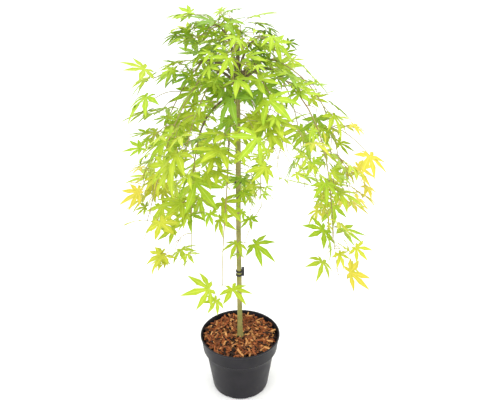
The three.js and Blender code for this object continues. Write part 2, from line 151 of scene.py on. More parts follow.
def nodesNamed(start):
    return [name for name in frame["nodes"] if name.startswith(start)]


def evaluatedMesh(piece):
    # what a curve, or a piece with its modifiers, comes out as
    bpy.context.view_layer.update()
    ready = piece.evaluated_get(bpy.context.evaluated_depsgraph_get())
    return bpy.data.meshes.new_from_object(ready)


def smoothBelow(bm, degrees):
    bm.normal_update()
    limit = math.radians(degrees)
    for face in bm.faces:
        face.smooth = True
    for edge in bm.edges:
        edge.smooth = edge.calc_face_angle(math.pi) < limit


def newVerts(bm, before):
    bm.verts.ensure_lookup_table()
    return bm.verts[before:]


def spinProfile(bm, profile, steps):
    # turns an outline of (radius, height) pairs, in millimetres, round the Z axis
    verts = [bm.verts.new((radius * mm, 0, height * mm)) for radius, height in profile]
    edges = [bm.edges.new(pair) for pair in zip(verts, verts[1:])]
    bmesh.ops.spin(bm, geom=verts + edges, cent=(0, 0, 0), axis=(0, 0, 1),
                   angle=2 * math.pi, steps=steps, use_merge=True)
    bmesh.ops.remove_doubles(bm, verts=bm.verts, dist=1e-6)
    bmesh.ops.dissolve_degenerate(bm, edges=bm.edges, dist=1e-7)
    bmesh.ops.recalc_face_normals(bm, faces=bm.faces)


# Shader nodes, and the groups that several materials share


def addNode(tree, kind, values=(), **settings):
    # the settings come first, because they decide which inputs the node has
    node = tree.nodes.new("ShaderNode" + kind)
    for name, value in settings.items():
        setattr(node, name, value)
    for name, value in dict(values).items():
        node.inputs[name].default_value = value
    return node


def connect(tree, *wires):
    # each wire runs from a node's output to an input of another node
    for start, output, end, entry in wires:
        tree.links.new(start.outputs[output], end.inputs[entry])


def newGroup(name, values, outputs):
    # the inputs take a colour or a number, as their values do
    group = bpy.data.node_groups.new(name, "ShaderNodeTree")
    for label, value in values.items():
        kind = "NodeSocketColor" if isinstance(value, tuple) else "NodeSocketFloat"
        socket = group.interface.new_socket(name=label, in_out="INPUT", socket_type=kind)
        socket.default_value = value
    for label, kind in outputs.items():
        group.interface.new_socket(name=label, in_out="OUTPUT", socket_type=kind)
    return group, group.nodes.new("NodeGroupInput"), group.nodes.new("NodeGroupOutput")


def patchGroup():
    # breaks one colour up into a second one, in soft patches, and gives their mask
    group, enter, leave = newGroup(
        "patches", {"Base": (0.5, 0.5, 0.5, 1), "Patch": (0.4, 0.4, 0.4, 1), "Scale": 60.0, "Amount": 0.5},
        {"Colour": "NodeSocketColor", "Mask": "NodeSocketFloat"})
    coords = addNode(group, "TexCoord")
    cloud = addNode(group, "TexNoise", {"Detail": 4})
    spread = addNode(group, "MapRange", {"From Min": 0.38, "From Max": 0.66})
    strength = addNode(group, "Math", operation="MULTIPLY")
    blend = addNode(group, "Mix", data_type="RGBA")
    connect(
        group, (coords, "Object", cloud, "Vector"), (enter, "Scale", cloud, "Scale"),
        (cloud, "Fac", spread, "Value"), (spread, "Result", strength, 0), (enter, "Amount", strength, 1),
        (strength, 0, blend, "Factor"), (enter, "Base", blend, "A"), (enter, "Patch", blend, "B"),
        (blend, "Result", leave, "Colour"), (spread, "Result", leave, "Mask"))
    return group


def grainGroup():
    # fine relief stretched along the height, for bark, chips, rubber and moulded plastic
    group, enter, leave = newGroup(
        "grain", {"Scale": 400.0, "Stretch": 0.2, "Strength": 0.3, "Distance": 0.0005},
        {"Normal": "NodeSocketVector"})
    coords = addNode(group, "TexCoord")
    stretch = addNode(group, "CombineXYZ", {"X": 1, "Y": 1})
    scaled = addNode(group, "VectorMath", operation="MULTIPLY")
    fine = addNode(group, "TexNoise", {"Detail": 6})
    bump = addNode(group, "Bump")
    connect(
        group, (enter, "Stretch", stretch, "Z"), (coords, "Object", scaled, 0), (stretch, 0, scaled, 1),
        (scaled, 0, fine, "Vector"), (enter, "Scale", fine, "Scale"), (fine, "Fac", bump, "Height"),
        (enter, "Strength", bump, "Strength"), (enter, "Distance", bump, "Distance"),
        (bump, "Normal", leave, "Normal"))
    return group


def ribGroup():
    # a paler rib down the middle of each lobe of a leaf, which the UV map blade crosses from side to side
    group, enter, leave = newGroup(
        "ribs", {"Blade": (0.4, 0.5, 0.1, 1), "Rib": (0.6, 0.7, 0.2, 1), "Width": 0.1, "Amount": 0.5},
        {"Colour": "NodeSocketColor"})
    blade = addNode(group, "UVMap", uv_map="blade")
    parts = addNode(group, "SeparateXYZ")
    middle = addNode(group, "Math", {1: 0.5}, operation="SUBTRACT")
    away = addNode(group, "Math", operation="ABSOLUTE")
    fade = addNode(group, "MapRange", {"To Max": 0})
    blend = addNode(group, "Mix", data_type="RGBA")
    connect(
        group, (blade, "UV", parts, 0), (parts, "Y", middle, 0), (middle, 0, away, 0),
        (away, 0, fade, "Value"), (enter, "Width", fade, "From Max"), (enter, "Amount", fade, "To Min"),
        (fade, "Result", blend, "Factor"), (enter, "Blade", blend, "A"), (enter, "Rib", blend, "B"),
        (blend, "Result", leave, "Colour"))
    return group


groups = {"patches": patchGroup(), "grain": grainGroup(), "ribs": ribGroup()}


def newMaterial(name, roughness, shine):
    material = bpy.data.materials.new(name)
    material.use_nodes = True
    shader = material.node_tree.nodes["Principled BSDF"]
    shader.inputs["Roughness"].default_value = roughness
    shader.inputs["Specular IOR Level"].default_value = shine
    return material, shader


def patchyMaterial(name, base, patch, scale, amount, roughness, grain=None, shine=0.3):
    material, shader = newMaterial(name, roughness, shine)
    tree = material.node_tree
    colours = {"Base": (*base, 1), "Patch": (*patch, 1), "Scale": scale, "Amount": amount}
    patches = addNode(tree, "Group", colours, node_tree=groups["patches"])
    connect(tree, (patches, "Colour", shader, "Base Color"))
    if grain:
        relief = addNode(tree, "Group", grain, node_tree=groups["grain"])
        connect(tree, (relief, "Normal", shader, "Normal"))
    return material


def overlay(material, node, under, over):
    # puts a node between the shader's base colour and what feeds it
    tree = material.node_tree
    colour = tree.nodes["Principled BSDF"].inputs["Base Color"]
    tree.links.new(colour.links[0].from_socket, node.inputs[under])
    tree.links.new(node.outputs[over], colour)


# The growth rule of the solids, written again here. Millimetres and degrees, as in the part's source.

trunkPlan = {
    "ground": 132.3, "top": 772, "baseRadius": 5.9, "headRadius": 5, "flare": 3, "flareHeight": 12,
    "head": 746, "headSwell": 6.5, "headSpread": 17, "bow": 1.6,
}
boughPlan = {"baseRadius": 3.2, "tipRadius": 1.8, "sunk": 3}
# pull of a curve's two ends, lift of a stem that leaves the trunk, weight of a mass's own azimuth near the
# trunk, and how finely the curves are cut
limbPlan = {
    "pull": 0.38, "stemLift": 20, "ownAzimuth": 30, "samples": 200, "tangentStep": 0.004,
    "skeleton": 20, "boughPoints": 16, "trunkPoints": 63,
}
twigPlan = {
    "first": 0.03, "last": 0.84, "reach": (0.75, 1.2), "shortest": 24, "probes": 8, "bend": 0.55,
    "outward": (-0.1, 0.9), "forward": 0.45, "upward": 0.25, "spread": (0.95, 0.7), "droop": (0.1, 0.75),
    "margin": 10, "clearance": 2.5, "gap": 0.3,
}
crownPlan = {"top": 850, "foot": 620}

# name: azimuth, height on the trunk, lift, tip (out, height), pitch at the tip
boughs = {
    "right": (6, 750, 44, (84, 778), -28),
    "right_front": (331, 738, 44, (82, 766), -30),
    "front_right": (300, 750, 40, (76, 766), -30),
    "front": (271, 734, 36, (70, 750), -30),
    "front_left": (240, 750, 40, (76, 766), -32),
    "left_front": (211, 738, 44, (74, 762), -46),
    "left": (175, 750, 44, (76, 774), -50),
    "back_left": (133, 738, 44, (74, 766), -44),
    "back": (90, 748, 44, (80, 776), -30),
    "right_back": (48, 738, 44, (82, 772), -30),
    "long_shoot": (262, 722, 10, (112, 640), -76),
    "inner_left": (222, 714, 0, (98, 652), -70),
    "crown_right": (350, 762, 76, (34, 822), 36),
    "crown_back": (84, 762, 76, (34, 830), 38),
    "crown_left": (180, 766, 76, (36, 846), 38),
    "crown_front": (266, 762, 76, (36, 814), 32),
}
# name: bough or height on the trunk, end (azimuth, out, height), pitch, twigs, reach, leaf length, and for
# the leaves here: step between pairs, bare share of the stem, share left out to show the sky, size
masses = {
    "right_curtain": ("right", (4, 232, 468), -80, 6, 66, 54, 98, 0.05, 0.28, 1),
    "right_front_curtain": ("right_front", (332, 234, 360), -76, 6, 50, 48, 104, 0.05, 0.4, 1),
    "front_right_curtain": ("front_right", (302, 172, 640), -72, 5, 54, 54, 76, 0.02, 0.4, 1),
    "front_curtain": ("front", (270, 156, 676), -70, 5, 60, 58, 52, 0.02, 0.14, 1),
    "front_left_curtain": ("front_left", (238, 186, 592), -78, 5, 60, 56, 70, 0.02, 0.38, 1),
    "left_front_curtain": ("left_front", (211, 210, 484), -70, 6, 72, 54, 98, 0.05, 0.7, 0.92),
    "left_curtain": ("left", (175, 216, 472), -68, 5, 64, 54, 98, 0.05, 0.5, 1.04),
    "back_left_curtain": ("back_left", (133, 224, 442), -74, 5, 76, 58, 100, 0.04, 0.46, 1.12),
    "back_curtain": ("back", (90, 215, 429), -82, 5, 76, 58, 96, 0.04, 0.4, 1),
    "right_back_curtain": ("right_back", (46, 230, 450), -80, 5, 76, 58, 100, 0.04, 0.33, 1),
    "long_shoot_tip": ("long_shoot", (258, 150, 362), -89, 0, 50, 58, 60, 1, 0, 0.86),
    "inner_left_curtain": ("inner_left", (224, 134, 415), -85, 3, 54, 48, 90, 0.3, 0.2, 1.08),
    "inner_right_curtain": (710, (318, 64, 492), -82, 3, 44, 46, 150, 0.62, 0.55, 1),
    "inner_back_curtain": (710, (90, 104, 500), -80, 3, 60, 54, 100, 0.3, 0.65, 1),
    "crown_right_spray": ("crown_right", (350, 78, 796), -60, 6, 54, 52, 54, 0.02, 0.22, 1),
    "crown_back_spray": ("crown_back", (84, 92, 800), -60, 5, 62, 54, 58, 0.02, 0.25, 1),
    "crown_left_spray": ("crown_left", (180, 66, 820), -58, 5, 48, 52, 58, 0.02, 0.22, 1),
    "crown_front_spray": ("crown_front", (267, 116, 760), -64, 5, 72, 58, 42, 0.02, 0.12, 1),
}
# first seed and the step to the next one
seeds = {
    "twigs": (101, 37), "shoots": (1501, 53), "spurs": (3301, 71), "leaves": (2203, 61),
    "strays": (0, 7919), "leafForms": (31, 7), "bark": (77, 0), "mulch": (404, 0),
}


def mix(low, high, share):
    return low + (high - low) * share


def between(pair, share):
    return mix(pair[0], pair[1], share)


def rising(pair, share):
    # from the first value on, by a share of the second
    return pair[0] + pair[1] * share


def smooth(low, high, value):
    share = min(max((value - low) / (high - low), 0), 1)
    return share * share * (3 - 2 * share)


def bell(distance, width):
    return math.exp(-(distance / width) ** 2)


def seeded(kind, number=0):
    # gives a function that draws the same numbers from 0 to 1 in every run
    state = (seeds[kind][0] + seeds[kind][1] * number) % 2 ** 32

    def draw():
        nonlocal state
        state = (state * 1664525 + 1013904223) % 2 ** 32
        return state / 2 ** 32
    return draw


def wobble(amount, draw):
    return amount * (draw() - 0.5)


def polar(azimuth, out, height):
    turn = math.radians(azimuth)
    return Vector((out * math.cos(turn), out * math.sin(turn), height))


def heading(azimuth, pitch):
    turn = math.radians(pitch)
    return polar(azimuth, math.cos(turn), math.sin(turn))


def trunkCentre(height):
    turn = math.pi * (height - trunkPlan["ground"]) / (trunkPlan["top"] - trunkPlan["ground"])
    return Vector((-trunkPlan["bow"] * math.sin(turn), trunkPlan["bow"] * math.sin(2 * turn), height))


def trunkRadius(height):
    rise = height - trunkPlan["ground"]
    share = rise / (trunkPlan["top"] - trunkPlan["ground"])
    stem = mix(trunkPlan["baseRadius"], trunkPlan["headRadius"], share)
    flare = trunkPlan["flare"] * math.exp(-rise / trunkPlan["flareHeight"])
    return stem + flare + trunkPlan["headSwell"] * bell(height - trunkPlan["head"], trunkPlan["headSpread"])


def bezier(controls, count):
    # points at even steps of the parameter, for two, three or four control points
    shares = np.linspace(0, 1, count + 1)[:, None]
    points = [np.array(control)[None, :] * np.ones_like(shares) for control in controls]
    while len(points) > 1:
        points = [a * (1 - shares) + b * shares for a, b in zip(points, points[1:])]
    return points[0]


def arcPath(controls):
    # a curve that can be asked for its point and its direction at a share of its length
    points = bezier(controls, limbPlan["samples"])
    steps = np.linalg.norm(np.diff(points, axis=0), axis=1)
    return {"controls": controls, "points": points, "along": np.concatenate([[0], np.cumsum(steps)])}


def pathLength(path):
    return path["along"][-1]


def pointAt(path, share):
    where = share * path["along"][-1]
    return Vector([np.interp(where, path["along"], path["points"][:, axis]) for axis in range(3)])


def tangentAt(path, share):
    step = limbPlan["tangentStep"]
    return (pointAt(path, min(share + step, 1)) - pointAt(path, max(share - step, 0))).normalized()


def limbControls(start, leaving, end, arriving):
    pull = limbPlan["pull"] * (end - start).length
    return [start, start + leaving * pull, end - arriving * pull, end]


def boughPath(azimuth, attach, lift, tip, pitch):
    start = trunkCentre(attach) + heading(azimuth, 0) * boughPlan["sunk"]
    return arcPath(limbControls(start, heading(azimuth, lift), polar(azimuth, *tip), heading(azimuth, pitch)))


def stemPath(root, end, pitch):
    azimuth = end[0]
    if root in boughPaths:
        controls = boughPaths[root]["controls"]
        leaving = (controls[3] - controls[2]).normalized()
        start = controls[3] + leaving * twigPlan["gap"]
    else:
        leaving = heading(azimuth, limbPlan["stemLift"])
        start = trunkCentre(root) + heading(azimuth, 0) * boughPlan["sunk"]
    return arcPath(limbControls(start, leaving, polar(*end), heading(azimuth, pitch)))


def nearest(point, points):
    return math.sqrt(((points - np.array(point)) ** 2).sum(axis=1).min())


def outwardAt(point, azimuth):
    return (Vector((point.x, point.y, 0)) + heading(azimuth, 0) * limbPlan["ownAzimuth"]).normalized()


def branchOff(path, share, stem, number, outwards, draw):
    # where a side shoot starts and where it heads, to one side and the other in turn
    root = pointAt(path, share)
    outward = outwardAt(root, stem["azimuth"])
    return root, up.cross(outward) * (1 if number % 2 else -1) + outward * between(outwards, draw())


def lownessAt(point):
    return 1 - smooth(crownPlan["foot"], crownPlan["top"], point.z)


def hasRoom(point, stem, margin):
    reach = nearest(point, stem["skeleton"]) + 2 * margin
    for other in stems.values():
        if other is not stem and nearest(point, other["skeleton"]) <= reach:
            return False
    return all(nearest(point, points) > radius + twigPlan["clearance"] for points, radius in obstacles)


def growTwigs(stem):
    plan = twigPlan
    draw = seeded("twigs", stem["number"])
    grown = []
    for number in range(stem["twigs"]):
        share = mix(plan["first"], plan["last"], number / (stem["twigs"] - 1))
        reach = stem["reach"] * between(plan["reach"], draw())
        root, way = branchOff(stem["path"], share, stem, number, plan["outward"], draw)
        low = lownessAt(root)
        way += tangentAt(stem["path"], share) * plan["forward"] + up * plan["upward"]
        way.normalize()
        bend = root + way * reach * plan["bend"]
        end = root + way * reach * between(plan["spread"], low)
        end -= up * reach * between(plan["droop"], low)
        probes = plan["probes"]
        whole = bezier([root, bend, end], probes)
        clear = 1
        while clear < probes and hasRoom(whole[clear + 1], stem, plan["margin"]):
            clear += 1
        cut = clear / probes
        if cut * reach >= plan["shortest"]:
            grown.append(arcPath([root, root.lerp(bend, cut), Vector(whole[clear])]) | {"share": share})
    return grown


boughPaths = {name: boughPath(*plan) for name, plan in boughs.items()}
stems = {}
for number, (name, (root, end, pitch, *values)) in enumerate(masses.items()):
    path = stemPath(root, end, pitch)
    stems[name] = dict(zip(("twigs", "reach", "leaf", "step", "bare", "thin", "size"), values))
    stems[name] |= {"number": number, "root": root, "path": path, "azimuth": end[0],
                    "skeleton": bezier(path["controls"], limbPlan["skeleton"])}
trunkSteps = limbPlan["trunkPoints"]
trunkHeights = [mix(trunkPlan["ground"], trunkPlan["top"], i / trunkSteps) for i in range(trunkSteps + 1)]
trunkPoints = np.array([trunkCentre(height) for height in trunkHeights])
# lines with a radius that twigs and leaves keep clear of
obstacles = [(bezier(path["controls"], limbPlan["boughPoints"]), boughPlan["baseRadius"])
             for path in boughPaths.values()]
obstacles.append((trunkPoints, trunkPlan["baseRadius"] + trunkPlan["flare"]))
for stem in stems.values():
    stem["side"] = growTwigs(stem)
print("grown stems and twigs", len(stems), sum(len(stem["side"]) for stem in stems.values()))


# Finer shoots and leaves, carried on from the same twigs by the same kind of rule

finePlan = {
    # where shoots stand on a twig and on a bough, and how many millimetres of stem there are for each
    "twigShare": 0.5, "spurShares": (0.35, 0.6, 0.9), "stemEvery": 165, "stemShares": (0.04, 0.95),
    "reach": (26, 42), "stemReach": (24, 42), "bend": 0.55, "end": 0.92, "droop": 0.35, "highDroop": 0.3,
    "twigForward": 0.6, "twigUpward": (-0.1, 0.4), "stemOutward": (-0.9, 0.9), "stemForward": 0.5,
    "spurOutward": (-0.6, 0.6), "spurUpward": (-0.2, 0.7), "strayArch": 16,
    # the points of a shoot from which on it has to be clear of other limbs
    "clearFrom": 60, "spurClearFrom": 100, "clearEvery": 20,
    "stemRadii": (1.5, 0.75), "twigRadii": (0.95, 0.6), "fineRadii": (0.7, 0.45),
}
leafPlan = {
    "petiole": (17, 32), "petioleRadii": (0.62, 0.5), "petioleArch": 0.06, "lastShare": 0.985,
    "length": (0.8, 1.24), "young": 0.72, "youngShare": 0.6, "terminal": 0.62, "tries": 9, "shrink": 0.04,
    "twigBare": 0.45, "petioleForward": 0.35, "petioleUp": 0.3, "petioleOutward": 0.3, "terminalSpread": 0.25,
    "bladeOutward": 0.4, "bladeSide": 1.4, "bladeDown": (-0.15, 0.46), "faceOutward": (0.4, 0.6),
    "jitter": 1.1, "sideJitter": 2.1, "turnJitter": 1.1, "turnStep": 0.6, "formRange": 1000,
    # lines from the petiole's end that stand for the blade: turn, reach, and how far their tips hang
    "spokes": ((-82, 0.66), (-40, 0.9), (0, 1), (40, 0.9), (82, 0.66)), "hang": 0.12,
    "clearance": 5.0, "limbGap": 1.5, "neighbours": 125, "bladeFront": 0.8, "bladeBack": 0.3, "boxSpare": 6,
}
# the box that all leaves stay in, a little wider than the solids
leafBox = np.array(cadBounds) / mm + np.array([[-1], [1]]) * leafPlan["boxSpare"]
# the crown is a cone: how far out a leaf's tips may reach, by height
coneHeights = (540, 620, 700, 760, 810, 850, 890)
coneReach = (320, 285, 242, 200, 145, 108, 75)
coneShift = (0, 0, 0, 6, 18, 28, 34)
# gaps that show the sky from where the camera stands: place across and up in the trunk's plane, radius
skyGaps = ((121, 491, 36), (79, 446, 28), (92, 575, 20))
# lone shoots that stand out from the crown, by mass: share of its stem, end, spray, seed of its leaves
strays = {
    "left_curtain": [
        (0.05, (-160, -24, 752), 0.5, 15), (0.2, (-168, -40, 710), 0.5, 19),
        (0.0, (-112, -12, 776), 0.4, 22),
    ],
    "right_curtain": [
        (0.48, (262, -44, 604), 0.5, 23),
    ],
    "crown_left_spray": [
        (0.0, (-56, -34, 864), 0.3, 4), (0.02, (-30, -16, 872), 0.4, 6),
        (0.0, (-84, -6, 866), 0.4, 36),
    ],
    "crown_back_spray": [
        (0.0, (-18, 46, 862), 0.3, 7), (0.0, (10, 18, 852), 0.3, 12),
    ],
    "crown_right_spray": [
        (0.1, (36, -30, 808), 0.2, 8),
    ],
    "crown_front_spray": [
        (0.0, (4, -22, 850), 0.2, 11), (0.0, (-18, -64, 818), 0.1, 31),
        (0.0, (22, -68, 800), 0.1, 32), (0.1, (0, -92, 776), 0.2, 33),
    ],
    "front_curtain": [
        (0.2, (6, -118, 716), 0.1, 34), (0.1, (-24, -104, 746), 0.3, 35),
        (0.25, (38, -126, 694), 0.3, 52), (0.35, (-20, -124, 664), 0.45, 54),
    ],
    "inner_right_curtain": [
        (1.0, (12, -50, 410), 0.95, 42),
    ],
    "front_left_curtain": [
        (0.0, (-30, -96, 774), 0.2, 51),
    ],
}


def fineShoot(root, way, reach):
    plan = finePlan
    low = lownessAt(root)
    bend = root + way * reach * plan["bend"]
    end = root + way * reach * plan["end"] - up * reach * plan["droop"] * (plan["highDroop"] + low)
    return arcPath([root, bend, end])


def clearOfLimbs(points, clearance):
    for line, radius in obstacles:
        gaps = np.linalg.norm(points[:, None, :] - line[None, :, :], axis=2)
        if gaps.min() < radius + clearance:
            return False
    return True


def newShoot(path, radii, bare, parent=None, share=0):
    # used is the share of its length that carries something, where it ends
    return {"path": path, "radii": radii, "bare": bare, "main": False, "parent": parent, "share": share,
            "used": 0}


def addFineShoot(shoots, path, parent=None, share=0, clearFrom=finePlan["clearFrom"]):
    if clearOfLimbs(path["points"][clearFrom::finePlan["clearEvery"]], leafPlan["clearance"]):
        shoots.append(newShoot(path, finePlan["fineRadii"], 1, parent, share))


def growShoots(stem):
    # the stem, its twigs and the finer shoots on both, each with its radii and where its leaves begin
    plan = finePlan
    draw = seeded("shoots", stem["number"])
    main = newShoot(stem["path"], plan["stemRadii"], stem["bare"])
    main["main"] = True
    shoots = [main]
    low, high = plan["stemShares"]
    count = int(pathLength(stem["path"]) / plan["stemEvery"]) if stem["bare"] < high else 0
    for number in range(count):
        share = mix(max(stem["bare"], low), high, (number + 0.5 + wobble(0.5, draw)) / count)
        root, way = branchOff(stem["path"], share, stem, number, plan["stemOutward"], draw)
        way = (way + tangentAt(stem["path"], share) * plan["stemForward"]).normalized()
        addFineShoot(shoots, fineShoot(root, way, between(plan["stemReach"], draw())), main, share)
    for twig in stem["side"]:
        branch = newShoot(twig, plan["twigRadii"], leafPlan["twigBare"], main, twig["share"])
        shoots.append(branch)
        along = tangentAt(twig, plan["twigShare"])
        way = up.cross(along).normalized() + along * plan["twigForward"]
        way = (way + up * between(plan["twigUpward"], draw())).normalized()
        path = fineShoot(pointAt(twig, plan["twigShare"]), way, between(plan["reach"], draw()))
        addFineShoot(shoots, path, branch, plan["twigShare"])
    if stem["root"] in boughPaths:
        growSpurs(stem, shoots)
    return shoots


def growSpurs(stem, shoots):
    # short leafy shoots on the bough itself, on both sides in turn
    plan = finePlan
    draw = seeded("spurs", stem["number"])
    for number, share in enumerate(plan["spurShares"]):
        root, way = branchOff(boughPaths[stem["root"]], share, stem, number, plan["spurOutward"], draw)
        way = (way + up * between(plan["spurUpward"], draw())).normalized()
        path = fineShoot(root, way, between(plan["stemReach"], draw()))
        addFineShoot(shoots, path, clearFrom=plan["spurClearFrom"])


def placeLeaf(point, tangent, terminal, turn, azimuth, length, draw):
    plan = leafPlan
    outward = outwardAt(point, azimuth)
    across = tangent.cross(outward).normalized()
    away = across.cross(tangent)
    way = (across * math.cos(turn) + away * math.sin(turn)) * (plan["terminalSpread"] if terminal else 1)
    way += tangent * (1 if terminal else plan["petioleForward"])
    way += up * plan["petioleUp"] + outward * plan["petioleOutward"]
    way.normalize()
    petiole = between(plan["petiole"], draw())
    low = lownessAt(point)
    axis = Vector((way.x, way.y, 0)) + outward * plan["bladeOutward"]
    axis += up.cross(outward) * (draw() - 0.5) * plan["bladeSide"]
    axis += up * (-between(plan["bladeDown"], low) + wobble(plan["jitter"], draw))
    axis.normalize()
    face = up.cross(outward) * wobble(plan["sideJitter"], draw) + up
    face += outward * (between(plan["faceOutward"], low) + wobble(plan["jitter"], draw))
    face -= axis * face.dot(axis)
    face.normalize()
    size = length * between(plan["length"], draw())
    return {"root": point, "base": point + way * petiole, "axis": axis, "face": face,
            "cross": face.cross(axis), "length": size}


def leafSpokes(leaf):
    ends = []
    for degrees, reach in leafPlan["spokes"]:
        turn = math.radians(degrees)
        along = leaf["axis"] * math.cos(turn) + leaf["cross"] * math.sin(turn)
        ends.append(leaf["base"] + (along * reach - leaf["face"] * leafPlan["hang"] * reach) * leaf["length"])
    starts = [leaf["base"]] * len(ends) + [leaf["root"]]
    return np.array(starts), np.array(ends + [leaf["base"]])


def pierces(starts, ends, bases, faces, axes, lengths):
    # whether any of the lines passes through any of the blades, all against all
    below = ((starts[None] - bases[:, None]) * faces[:, None]).sum(axis=2)
    above = ((ends[None] - bases[:, None]) * faces[:, None]).sum(axis=2)
    share = below / np.where(np.abs(below - above) < 1e-9, 1e-9, below - above)
    meets = starts[None] + (ends - starts)[None] * share[:, :, None] - bases[:, None]
    near = np.linalg.norm(meets, axis=2) < leafPlan["bladeFront"] * lengths[:, None]
    ahead = (meets * axes[:, None]).sum(axis=2) > -leafPlan["bladeBack"] * lengths[:, None]
    return bool(((below * above < 0) & near & ahead).any())


kept = {"leaves": [], "bases": np.zeros((0, 3)), "faces": np.zeros((0, 3)), "axes": np.zeros((0, 3)),
        "lengths": np.zeros(0), "starts": np.zeros((0, 6, 3)), "ends": np.zeros((0, 6, 3))}


def inSkyGap(points):
    # seen from the camera's place, carried on to the plane through the trunk
    eye = np.array(view["place"]) / mm
    seen = eye + (points - eye) * (eye[1] / (eye[1] - points[:, 1]))[:, None]
    return any((np.hypot(seen[:, 0] - across, seen[:, 2] - height) < radius).any()
               for across, height, radius in skyGaps)


def leafFits(leaf, lone):
    # gives the leaf's lines if it has room, and nothing if it hasn't
    starts, ends = leafSpokes(leaf)
    out = np.hypot(ends[:, 0] + np.interp(ends[:, 2], coneHeights, coneShift), ends[:, 1])
    if not lone and (out > np.interp(ends[:, 2], coneHeights, coneReach)).any():
        return None
    if (ends < leafBox[0]).any() or (ends > leafBox[1]).any():
        return None
    probes = np.concatenate([ends[:-1], (starts[:-1] + ends[:-1]) / 2, starts[:1]])
    if not clearOfLimbs(probes, leafPlan["limbGap"]) or inSkyGap(probes):
        return None
    base = np.array(leaf["base"])
    close = np.linalg.norm(kept["bases"] - base, axis=1) < leafPlan["neighbours"]
    if close.any():
        near = [kept[key][close] for key in ("bases", "faces", "axes", "lengths")]
        own = [np.array([value]) for value in (base, leaf["face"], leaf["axis"], leaf["length"])]
        lines = [kept[key][close].reshape(-1, 3) for key in ("starts", "ends")]
        if pierces(starts, ends, *near) or pierces(*lines, *own):
            return None
    return starts, ends


def keepLeaf(leaf, starts, ends):
    kept["leaves"].append(leaf)
    row = (leaf["base"], leaf["face"], leaf["axis"], leaf["length"], starts, ends)
    for key, value in zip(("bases", "faces", "axes", "lengths", "starts", "ends"), row):
        kept[key] = np.concatenate([kept[key], [np.array(value)]])


def growLeaves(stem, shoot, spray, draw, thin, lone=False):
    plan = leafPlan
    steps = round(pathLength(shoot["path"]) * (1 - shoot["bare"]) / stem["step"])
    if shoot["bare"] < 1:
        steps = max(1, steps)
    for number in range(steps + 1):
        share = mix(shoot["bare"], 1, number / max(1, steps))
        point = pointAt(shoot["path"], share * plan["lastShare"])
        tangent = tangentAt(shoot["path"], share)
        last = number == steps
        small = last and not shoot["main"] and draw() < plan["youngShare"] and not lone
        young = plan["young"] if small else 1
        for side in (0, 1, 2) if last else (0, 1):
            if draw() < thin:
                continue
            for attempt in range(plan["tries"]):
                turn = number * math.pi / 2 + side * math.pi
                turn += wobble(plan["turnJitter"] + attempt * plan["turnStep"], draw)
                scale = (plan["terminal"] if side == 2 else young) * (1 - plan["shrink"] * attempt)
                size = stem["leaf"] * scale * (1 if lone else stem["size"])
                leaf = placeLeaf(point, tangent, side == 2, turn, stem["azimuth"], size, draw)
                fit = leafFits(leaf, lone)
                if fit:
                    leaf["spray"] = spray
                    leaf["share"] = share if shoot["main"] else 1
                    leaf["shade"] = draw()
                    leaf["form"] = int(draw() * plan["formRange"])
                    keepLeaf(leaf, *fit)
                    shoot["used"] = max(shoot["used"], share * plan["lastShare"])
                    break


allShoots = []
for name, stem in stems.items():
    shoots = growShoots(stem)
    draw = seeded("leaves", stem["number"])
    for shoot in shoots:
        growLeaves(stem, shoot, draw(), draw, stem["thin"])
    for share, end, spray, seed in strays.get(name, ()):
        root = pointAt(stem["path"], share)
        bend = root.lerp(Vector(end), 0.5) + up * finePlan["strayArch"]
        lone = newShoot(arcPath([root, bend, Vector(end)]), finePlan["twigRadii"], 1, shoots[0], share)
        shoots.append(lone)
        growLeaves(stem, lone, spray, seeded("strays", seed), 0, True)
    for shoot in reversed(shoots):
        if shoot["used"] and shoot["parent"]:
            shoot["parent"]["used"] = max(shoot["parent"]["used"], shoot["share"])
    allShoots += [shoot for shoot in shoots if shoot["used"]]
print("grown shoots and leaves", len(allShoots), len(kept["leaves"]))


# Leaf shapes: lobes from grids, drawn out to long tips, with teeth on both sides

lobePlan = {
    "turns": (-128, -84, -41, 0, 41, 84, 128),
    "reach": (0.32, 0.7, 0.93, 1.0, 0.93, 0.7, 0.32),
    "halfWidth": 0.132, "shortLobe": (0.45, 0.55), "notch": 0.175, "backNotch": 0.06, "backTurn": 156,
    # share of the lobe's length, share of its half width
    "rows": ((0.3, 0.66), (0.5, 1.0), (0.55, 0.87), (0.78, 0.48), (1.0, 0.0)),
    "shortRows": ((0.6, 1.0), (1.0, 0.0)), "firstRow": 0.7,
    # a lobe is folded along its middle, with this share of the fold in the first row and in the others
    "fold": (0.1, 0.6), "pleat": (0.15, 0.8), "pleatFade": 3, "droop": (-0.05, 0.38), "sag": (0.6, 0.8),
    "bend": (-0.24, 0.12), "turnJitter": 14, "reachJitter": 0.2, "forms": 12,
}


